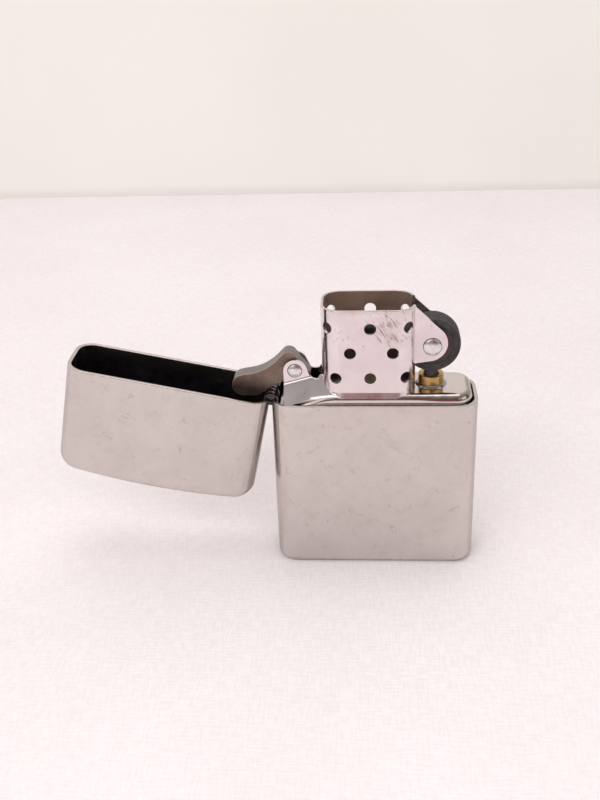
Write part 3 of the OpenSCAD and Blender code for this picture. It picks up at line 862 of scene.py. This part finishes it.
def cam_plate(side):
    """An ear beside the cam; below it, a shoulder slopes out and flares onto the insert's edge."""
    hub = pivot("cam_pivot")
    ear_radius, ear_y = 2.1, 2.25
    scallop, scallop_at = 1.45, (-10.75, 40.05)
    meet = (-11.9, 39.17)
    last = touch(meet, (hub.x, hub.z), ear_radius, 1)
    crown = arc((hub.x, hub.z), ear_radius, pi, last, 22)
    dip = arc(scallop_at, scallop, pi + 0.65, 2 * pi, 16)
    bend, lean = 0.3, 0.93                         # rounding and slant of the fold under the ear
    fold_half = 0.6                                # height of the fold's rounding, each way
    flare_y, flare_lift, flare_slope, bury = 5.35, -0.12, 0.42, 0.6
    gap = 0.005                                    # keeps the points of a column apart

    def to_chimney(x, y):
        """Right of the ear the shoulder runs on until it is inside the chimney's round corner."""
        if x <= meet[0]:
            return x
        middle_x, middle_y = CHIMNEY_LOW[0] + CHIMNEY_CORNER, CHIMNEY_HIGH[1] - CHIMNEY_CORNER
        radius = CHIMNEY_CORNER - SHEET / 2
        corner_x = middle_x - sqrt(max(radius ** 2 - max(y - middle_y, 0) ** 2, 0.2))
        return meet[0] + (x - meet[0]) * (corner_x - meet[0]) / (dip[-1][0] - meet[0])

    def profile(x, top):
        """(y, z) points from the buried foot, over the flare and the slope, to the top of the ear."""
        fold = 37.5 + (x - RAMP_END) * 0.287
        rise = max(0, (x + 13.5) / 2.9)
        slope_drop = 2.65 - 1.7 * min(rise, 1.2) ** 2
        crease = Vector((ear_y + lean * slope_drop, fold - slope_drop))
        rim = Vector((flare_y, deck_height(x) + flare_lift))
        span = rim - crease
        reach = (span.y + flare_slope * span.x) / (flare_slope * lean - 1)
        corner = crease + Vector((lean, -1)) * max(reach, 0.05)
        points = [rim - Vector((0.1, bury)), rim - Vector((0, 0.12))]
        for k in range(9):
            t = 1 - k / 8
            points.append((1 - t) ** 2 * crease + 2 * t * (1 - t) * corner + t * t * rim)
        low, high = fold - slope_drop, fold + fold_half
        knee = max(fold - fold_half, low + 0.08)
        heights = [low + (knee - low) * k / 5 for k in range(1, 6)]
        heights += [knee + (high - knee) * k / 10 for k in range(1, 11)]
        heights += [high + max(top - high, 0.1) * k / 4 for k in range(1, 5)]
        for left, z in zip(range(len(heights) - 1, -1, -1), heights):
            z = min(z, top - gap * left)
            out = lean * (soft_step(fold - z, bend) - soft_step(-3, bend))
            points.append(Vector((ear_y + out, z)))
        return points

    columns = []
    for x, top in crown + dip:
        points = profile(x, top)
        outside = [Vector((to_chimney(x, y), side * y, z)) for y, z in points]
        inside = [Vector((to_chimney(x, y - SHEET), side * (y - SHEET), z)) for y, z in points]
        columns.append(outside + inside[::-1])
    verts, quads = skin(columns)
    count = len(columns[0])
    for end in (0, len(verts) - count):
        quads += [(end + k, end + k + 1, end + count - 2 - k, end + count - 1 - k)
                  for k in range(count // 2 - 1)]
    return verts, quads


def vent_drums():
    """The draught holes: three rows front and back, with the outer ones square to the round corners."""
    rows = (39.87, 44.8, 49.5)
    middle, spread, radius = -0.7, 3.83, 1.08
    pair_middle = middle + 0.22
    drums = [drum(lying(x, 0, z), radius, 14)
             for x, z in ((middle, rows[0]), (pair_middle - spread, rows[1]),
                          (pair_middle + spread, rows[1]), (middle, rows[2]))]
    corners = ((-1, 16, rows[0]), (1, 31, rows[0]), (-1, 43, rows[2]), (1, 40, rows[2]))
    for end, degrees, z in corners:
        x = (CHIMNEY_LOW if end < 0 else CHIMNEY_HIGH)[0] - end * CHIMNEY_CORNER
        angle = radians(degrees)
        for front in (-1, 1):
            direction = Vector((end * sin(angle), front * cos(angle), 0))
            centre = Vector((x, front * (CHIMNEY_HIGH[1] - CHIMNEY_CORNER), z)) + direction * 3.2
            turn = direction.to_track_quat("Z", "Y").to_matrix().to_4x4()
            drums.append(drum(Matrix.Translation(centre) @ turn, radius, 4))
    return drums


def make_chimney(outside, inside):
    """Windproof chimney with its skirt, draught holes, wheel ears and cam plates."""
    top = box("chimney")[1].z
    deck = box("insert_top")[1].z
    loop = rounded_loop(CHIMNEY_LOW, CHIMNEY_HIGH, CHIMNEY_CORNER, along_x=16, turns=16)
    neck, turn, lean, lip = deck + 0.6, 0.15, radians(12), 0.12
    straight = neck - turn - (deck - 0.85)

    def outward(amount):
        """Moves the skirt out: further towards the hinge and less towards the wheel."""
        return lambda x, n: -amount * (1 + 5 * max(0, -n.x) ** 3 - 0.8 * max(0, n.x) ** 2)

    bend = turn * tan(lean) / 2
    rings = [ring(loop, 0.1, deck - 1)]
    rings += [ring(loop, outward(bend + straight * share * tan(lean)), neck - turn - straight * share)
              for share in (1, 0.7, 0.4, 0)]
    rings += [ring(loop, outward(bend * (k / 4) ** 2), neck - turn * k / 4) for k in (3, 2, 1, 0)]
    rings += [ring(loop, 0, neck + (top - lip - neck) * k / 8) for k in range(1, 8)]
    rings += [ring(loop, i, top - d) for i, d in quarter_round(lip, 3)]
    rings += [ring(loop, SHEET - i, top - d) for i, d in quarter_round(lip, 3, reverse=True)]
    outer_rings = len(rings) - 1
    rings += [ring(loop, SHEET, deck - 0.1 + (top - deck) * k / 8) for k in range(7, -1, -1)]
    rings.append(rings[0])
    parts = skin(rings)
    index = [int(i // len(loop) >= outer_rings) for i in range(len(parts[1]))]
    piece = build("chimney_shell", parts, "insert", [outside, inside], index)
    slot_half, slot_foot = 2.28, 40.2
    cut(piece, [block((CHIMNEY_HIGH[0] - CHIMNEY_CORNER, -slot_half, slot_foot),
                      (CHIMNEY_HIGH[0] + 2, slot_half, top + 1))])
    cut(piece, [make(side) for make in (wheel_ear, cam_plate) for side in (-1, 1)], "UNION")
    pins = [drum(lying(pivot(joint).x, 0, pivot(joint).z), radius, 12)
            for joint, radius in (("wheel_spin", 1), ("cam_pivot", 0.8))]
    cut(piece, vent_drums() + pins)
    clean(piece, 5 * WELD)
    bevel_edges(piece, 0.07, 38)
    shade(piece, 40)
    stands_for("chimney")


def soft_block(node, material, lump, size, holes):
    """Felt or cotton stuffed into the insert: a soft-edged lumpy block with (x, radius) holes."""
    low, high = box(node)
    corner, edge = 2.6, 0.4
    loop = rounded_loop(low, high, corner, along_x=36, along_y=10, turns=6)
    foot = ring(loop, edge, low.z)
    crown = ring(loop, edge, high.z)
    shares = [0, 0.12, 0.25, 0.4, 0.55, 0.7, 0.85, 0.95]
    levels = max(3, ceil((high.z - low.z) / 1.2))
    rings = [shrink(foot, share) for share in shares]
    rings += [ring(loop, i, low.z + d) for i, d in quarter_round(edge, 3, reverse=True)]
    rings += [ring(loop, 0, low.z + edge + (high.z - low.z - 2 * edge) * k / levels)
              for k in range(1, levels)]
    rings += [ring(loop, i, high.z - d) for i, d in quarter_round(edge, 3)]
    rings += [shrink(crown, share) for share in shares[::-1]]
    middle = (low + high) / 2
    piece = build(node + "_soft", skin(rings), "insert", [material])
    cut(piece, [drum(upright(x, 0.03, middle.z), r, high.z - low.z + 2, 39) for x, r in holes])
    normals = [n.vector.copy() for n in piece.data.vertex_normals]
    for vertex, normal in zip(piece.data.vertices, normals):
        spot = vertex.co / MM / size
        amount = lump * (0.5 + 0.5 * noise.noise(spot) + 0.25 * noise.noise(spot * 3.1))
        vertex.co -= normal * amount * MM
    shade(piece, 60)
    stands_for(node)


def make_wick(material):
    """Braided cord, coarse where the tank hides it and fine above."""
    low, high = box("wick")
    middle = (low + high) / 2
    radius = (high.x - low.x) / 2
    steps, strands, pitch, tip = 72, 6, 2.6, 0.5
    bare = box("insert_top")[1].z - 1
    hidden = [low.z + (bare - low.z) * k / 12 for k in range(12)]
    shown = [bare + (high.z - tip - bare) * k / 110 for k in range(111)]
    rings = [[Vector((middle.x, 0, low.z))] * steps]
    for z in hidden + shown:
        points = []
        for i in range(steps):
            angle = 2 * pi * i / steps
            over = abs(sin((strands * angle + pitch * z) / 2))
            under = abs(sin((strands * angle - pitch * z) / 2))
            r = radius * (0.84 + 0.13 * max(over, under) + 0.03 * noise.noise((angle * 3, z * 2, 0)))
            points.append(Vector((middle.x + r * cos(angle), r * sin(angle), z)))
        rings.append(points)
    for share, rise in ((0.8, 0.16), (0.45, 0.2), (0, 0.1)):
        points = []
        for p in rings[len(hidden + shown)]:
            away = Vector((p.x - middle.x, p.y, 0)) * share
            rough = 0.12 * noise.noise((away.x * 4, away.y * 4, 1))
            points.append(Vector((middle.x + away.x, away.y, high.z - tip + rise + rough)))
        rings.append(points)
    piece = build("wick_cord", skin(rings), "insert", [material])
    shade(piece, 80)
    stands_for("wick")


def make_fray(material):
    """Loose threads at the wick's tip, spread by the golden angle."""
    low, high = box("wick")
    middle = (low + high) / 2
    radius = (high.x - low.x) / 2
    verts, faces = [], []
    threads, reach, thick, golden = 34, 0.9, 0.07, 2.39996
    for k in range(threads):
        angle = k * golden
        start = radius * 0.85 * sqrt((k + 0.5) / threads)
        lean = 0.25 + 0.5 * (0.5 + 0.5 * sin(k * 5.1))
        length = reach * (0.55 + 0.45 * cos(k * 3.7) ** 2)
        rings = []
        for j in range(6):
            t = j / 5
            bend = start + lean * length * t * t
            swing = angle + 0.5 * t * sin(k * 2.3)
            centre = Vector((middle.x + bend * cos(swing), bend * sin(swing),
                             high.z - 0.45 + length * t * (1 - 0.25 * t)))
            r = thick * (1 - 0.75 * t)
            rings.append([centre + Vector((r * cos(a), r * sin(a), 0)) for a in (0, 2.1, 4.2)])
        more, quads = skin(rings)
        last = len(more) - 3
        quads += [(0, 1, 2), (last, last + 1, last + 2)]
        faces += [tuple(i + len(verts) for i in face) for face in quads]
        verts += more
    piece = build("wick_fray", (verts, faces), "insert", [material], weld=0.0001)
    shade(piece, 80)


# ---- turned parts ----

def turned(name, node, profile, place, body, material, slot, closed=False, edge=0.08):
    """A lathe-turned piece that stands for a CAD node. A closed profile makes a tube."""
    points = softened(profile, edge)
    if closed:
        points.append(points[0])
    piece = build(name, skin(lathe(points, place)), body, [material], weld=WELD / 2)
    shade(piece, 50)
    stands_for(node)
    return piece


def make_rivet(name, node, joint, pin, head, height, grip):
    """Pin across the two ears, with a low domed head and a thin flange at each end."""
    axis, face, flange, rim = pivot(joint), grip / 2, 0.12, 0.14
    steps, roundness = 10, 2.6
    dome = [(head * (1 - k / steps), face + rim + (height - rim) * (1 - (1 - k / steps) ** roundness))
            for k in range(steps + 1)]
    half = [(pin, 0), (pin, face), (head + flange, face), (head + flange, face + 0.06),
            (head, face + rim / 2)] + dome
    profile = [(r, -z) for r, z in half[::-1]] + half[1:]
    turned(name, node, profile, lying(axis.x, 0, axis.z), "insert", rivet_steel(joint, head),
           "rivet_steel", edge=0.05)


def make_wheel(material):
    """Flint wheel: two bands of fine slanted teeth, and recessed sides."""
    low, high = box("flint_wheel")
    axis = pivot("wheel_spin")
    radius, half = (high.x - low.x) / 2, (high.y - low.y) / 2
    teeth, per_tooth, depth, slant = 96, 4, 0.16, 0.55
    rise_share, groove_depth, groove_half = 0.7, 0.12, 0.15
    steps = teeth * per_tooth
    bore, hub = 1.03, 2.3
    side = [(bore, half - 0.1), (hub, half - 0.1), (hub + 0.2, half - 0.3), (3.7, half - 0.3),
            (3.95, half - 0.05), (radius - 0.4, half), (radius - 0.12, half - 0.08)]
    tread = [half - 0.3 - (2 * half - 0.6) * k / 16 for k in range(17)]
    rings = [[spot] * steps for spot in side]
    for y in tread:
        points = []
        for i in range(steps):
            phase = i / per_tooth + slant * abs(y) * teeth / (2 * pi * radius)
            saw = phase % 1
            bite = depth * min(saw / rise_share, (1 - saw) / (1 - rise_share))
            groove = groove_depth * max(0, 1 - abs(y) / groove_half)
            points.append((radius - depth + bite - groove, y))
        rings.append(points)
    rings += [[(r, -y)] * steps for r, y in side[::-1]]
    rings.append(rings[0])
    placed = [[Vector((axis.x + r * cos(2 * pi * i / steps), y, axis.z + r * sin(2 * pi * i / steps)))
               for i, (r, y) in enumerate(points)] for points in rings]
    piece = build("flint_wheel_cut", skin(placed), "wheel", [material], weld=WELD / 2)
    shade(piece, 30)
    stands_for("flint_wheel")


def make_turned_parts(brass_finish, collar_finish, flint_finish):
    """Rivets, flint tube, collar, flint, spring tip and screw."""
    make_rivet("cam_rivet_head", "cam_rivet", "cam_pivot", 0.8, 1.25, 0.42, 4.5)
    make_rivet("wheel_rivet_head", "wheel_rivet", "wheel_spin", 1, 1.6, 0.5, 5.5)
    axis = pivot("screw_turn")
    deck = box("insert_top")[1].z
    low, high = box("flint_tube")
    bore, tube, head = 1.33, 2.15, 2.34
    turned("flint_tube_turned", "flint_tube",
           [(bore, low.z), (tube, low.z), (tube, deck), (head, deck + 0.05), (head, high.z),
            (bore + 0.3, high.z), (bore, high.z - 0.3), (bore, low.z + 0.01)],
           upright(axis.x), "insert", brass_finish, "brass", closed=True, edge=0.16)
    low, high = box("tube_collar")
    turned("tube_collar_lip", "tube_collar",
           [(head + 0.02, low.z - 0.1), (3.0, low.z - 0.1), (2.9, low.z + 0.06), (2.7, low.z + 0.3),
            (2.5, high.z), (head + 0.02, high.z), (head + 0.02, low.z)],
           upright(axis.x), "insert", collar_finish, "insert_steel", closed=True)
    low, high = box("flint")
    radius = (high.x - low.x) / 2
    turned("flint_rod", "flint", [(0, low.z), (radius, low.z), (radius, high.z - 0.2), (0, high.z - 0.02)],
           upright(axis.x), "flint", flint_finish, "flint", edge=0.15)
    low, high = box("spring_tip")
    turned("spring_tip_turned", "spring_tip",
           [(0, low.z), (0.7, low.z), (0.7, low.z + 0.5), (radius - 0.02, low.z + 0.5),
            (radius - 0.02, high.z), (0, high.z)], upright(axis.x), "flint", brass_finish, "brass")
    low, high = box("flint_screw")
    head, shank, flange, slot_half = (high.x - low.x) / 2, 1.28, 1.04, 0.4
    screw = turned("flint_screw_turned", "flint_screw",
                   [(0, low.z), (head, low.z), (head, low.z + flange), (shank, low.z + flange),
                    (shank, high.z), (0, high.z)], upright(axis.x), "screw", brass_finish, "brass",
                   edge=0.2)
    screw.modifiers.clear()
    cut(screw, [block((axis.x - head - 1, -slot_half, low.z - 1),
                      (axis.x + head + 1, slot_half, low.z + 0.5))])
    shade(screw, 40)


def make_flint_spring(material):
    """Round-wire coil with its end turns closed."""
    low, high = box("flint_spring")
    axis = pivot("screw_turn")
    wire, turns, steps, sides = 0.2, 17, 26, 8
    radius = (high.x - low.x) / 2 - wire + 0.04
    closed, pitch = 1.2, 0.41                      # the end turns almost lie on one another
    travel = high.z - low.z - 2 * wire - 2 * pitch * closed
    rings = []
    for i in range(turns * steps + 1):
        t = i / steps
        open_turns = min(max(t - closed, 0), turns - 2 * closed)
        shut_turns = t - open_turns
        z = low.z + wire + pitch * shut_turns + travel * open_turns / (turns - 2 * closed)
        away = Vector((cos(2 * pi * t), sin(2 * pi * t), 0))
        centre = Vector((axis.x, 0, z))
        angles = [2 * pi * k / sides for k in range(sides)]
        rings.append([centre + away * (radius + wire * cos(a)) + Vector((0, 0, wire * sin(a)))
                      for a in angles])
    verts, faces = skin(rings)
    last = len(verts) - sides
    faces += [tuple(range(sides)), tuple(range(last, last + sides))]
    piece = build("flint_spring_coil", (verts, faces), "flint", [material], weld=0.0005)
    shade(piece, 60)
    bake(piece)
    stands_for("flint_spring")
    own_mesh(piece)


# ---- stage ----

def card(name, corners, material):
    """A flat part of the stage, with its corners in metres."""
    piece = add_mesh(name, (corners, [tuple(range(len(corners)))]), [material], unit=1)
    return piece
    return piece


def make_stage():
    """A pale tablecloth in front of a pale wall, and the dark red of whoever stands at the camera."""
    half, wall_y, wall_top = 1.2, 0.255, 1
    floor_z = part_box("case_bottom")[0].z
    seam = [(half, wall_y, floor_z), (-half, wall_y, floor_z)]
    card("floor", [(-half, -half, floor_z), (half, -half, floor_z), *seam], cloth())
    card("backdrop", [*seam[::-1], (half, wall_y, wall_top), (-half, wall_y, wall_top)], plaster())
    shirt = card("shirt_card", [(-0.034, -0.36, floor_z), (0.2, -0.36, floor_z),
                                (0.2, -0.52, 0.42), (-0.05, -0.52, 0.42)], shirt_cloth())
    shirt.visible_camera = False


def area_light(name, place, target, size, power, colour):
    """A soft rectangular lamp that faces its target. Lengths are metres."""
    light = bpy.data.lights.new(name, "AREA")
    light.shape = "RECTANGLE"
    light.size, light.size_y = size
    light.energy = power
    light.color = colour
    lamp = add_object(name, light)
    lamp.location = place
    lamp.rotation_euler = (Vector(target) - Vector(place)).to_track_quat("-Z", "Y").to_euler()
    return lamp


def make_room():
    """Even light from all round, and a darker room with a bright ceiling for the metal to reflect."""
    world = bpy.data.worlds.new("soft_room")
    world.use_nodes = True
    tree = world.node_tree
    even = tree.nodes["Background"]
    even.inputs["Color"].default_value = (1.0, 0.965, 0.955, 1)
    even.inputs["Strength"].default_value = 0.395
    kinds = ("TexCoord", "SeparateXYZ", "ValToRGB", "Background", "LightPath", "MixShader")
    place, split, ramp, room, path, mix = [tree.nodes.new("ShaderNode" + kind) for kind in kinds]
    stops = ((0.0, (0.10, 0.075, 0.07)), (0.4, (0.15, 0.11, 0.11)), (0.85, (0.46, 0.45, 0.42)))
    while len(ramp.color_ramp.elements) < len(stops):
        ramp.color_ramp.elements.new(0.5)
    for element, (position, colour) in zip(ramp.color_ramp.elements, stops):
        element.position = position
        element.color = (*colour, 1)
    for source, socket in ((place.outputs["Generated"], split.inputs[0]),
                           (split.outputs["Z"], ramp.inputs[0]),
                           (ramp.outputs[0], room.inputs["Color"]),
                           (path.outputs["Is Glossy Ray"], mix.inputs[0]),
                           (even.outputs[0], mix.inputs[1]),
                           (room.outputs[0], mix.inputs[2]),
                           (mix.outputs[0], tree.nodes["World Output"].inputs["Surface"])):
        tree.links.new(source, socket)
    bpy.context.scene.world = world


def make_lamps():
    """Soft lamps above, in front and to the sides. The two that only fill stay out of reflections."""
    above, side = (1.0, 0.985, 0.975), (1.0, 0.975, 0.965)
    front = area_light("front_lamp", (-0.1, -0.62, 0.62), (0, 0, 0), (1.1, 0.22), 3.4, above)
    low = area_light("low_fill", (0.0, -0.15, 0.09), (0, -0.03, 0), (0.14, 0.06), 0.018, above)
    front.visible_glossy = low.visible_glossy = False
    area_light("overhead", (0, 0.03, 0.8), (0, 0, 0), (0.5, 0.42), 1.4, above)
    area_light("strip", (0, -0.6, 0.4), (0, 0, 0.03), (0.9, 0.05), 0.4, above)
    area_light("left_window", (-0.85, -0.2, 0.6), (0, 0, 0.02), (0.7, 0.6), 1.5, side)
    area_light("front_window", (-0.3, -0.45, 0.28), (0, 0, 0.03), (0.35, 0.3), 0.3, side)
    area_light("right_window", (0.85, -0.45, 0.5), (0, 0, 0.02), (0.6, 0.5), 1.2, side)
    bpy.context.scene.view_settings.view_transform = "Standard"


def make_camera():
    """The viewpoint: a little right of square on, looking down on the lighter."""
    place = Vector((0.00008, -0.17588, 0.12296))
    turn, down, tilt = radians(4.58), radians(27.04), radians(-2.23)
    forward = Vector((-sin(turn) * cos(down), cos(turn) * cos(down), -sin(down)))
    level = Vector((cos(turn), sin(turn), 0))
    above = level.cross(forward)
    right = cos(tilt) * level + sin(tilt) * above
    up = cos(tilt) * above - sin(tilt) * level
    camera = bpy.data.cameras.new("camera")
    camera.lens = 47.12
    camera.clip_start = 0.005
    holder = add_object("camera", camera)
    axes = Matrix((right, up, -forward)).transposed()
    holder.matrix_world = Matrix.Translation(place) @ axes.to_4x4()
    bpy.context.scene.camera = holder


steel, inside = satin_steel(), dark_inside()
polished, soot = insert_steel().material, sooty_steel()
hinge, cam, spring = hinge_steel(), cam_steel(), spring_steel()
gold, stone, deck = brass(), flint_stone(), deck_steel()
make_case(steel, inside)
make_lid(steel, inside)
make_insert_top(deck)
make_chimney(chimney_steel(), soot)
make_wheel(wheel_steel())
charred = wick_fibre()
make_wick(charred)
make_fray(charred)
make_turned_parts(gold, deck, stone)
screw_x, wick_x = pivot("screw_turn").x, (box("wick")[0].x + box("wick")[1].x) / 2
felt = fibre("felt", (0.70, 0.66, 0.60), (0.50, 0.46, 0.40), 0.15).material
cotton = fibre("cotton", (0.82, 0.80, 0.76), (0.66, 0.63, 0.58), 0.2).material
soft_block("felt_pad", felt, 0.12, 0.8, [(screw_x, 2.9)])
soft_block("cotton_packing", cotton, 0.35, 3, [(screw_x, 2.35), (wick_x, 1.6)])
for node, finish, edge in (("hinge_case_leaf", hinge, 0.06), ("hinge_lid_leaf", hinge, 0.06),
                           ("hinge_pin", hinge, 0.06), ("insert_tank", polished, 0.08),
                           ("cam", cam, 0.07), ("cam_spring", spring, 0.03),
                           ("cam_spring_rivet", spring, 0.05)):
    dress(node, finish, edge)
make_flint_spring(spring)

make_stage()
make_room()
make_lamps()
make_camera()
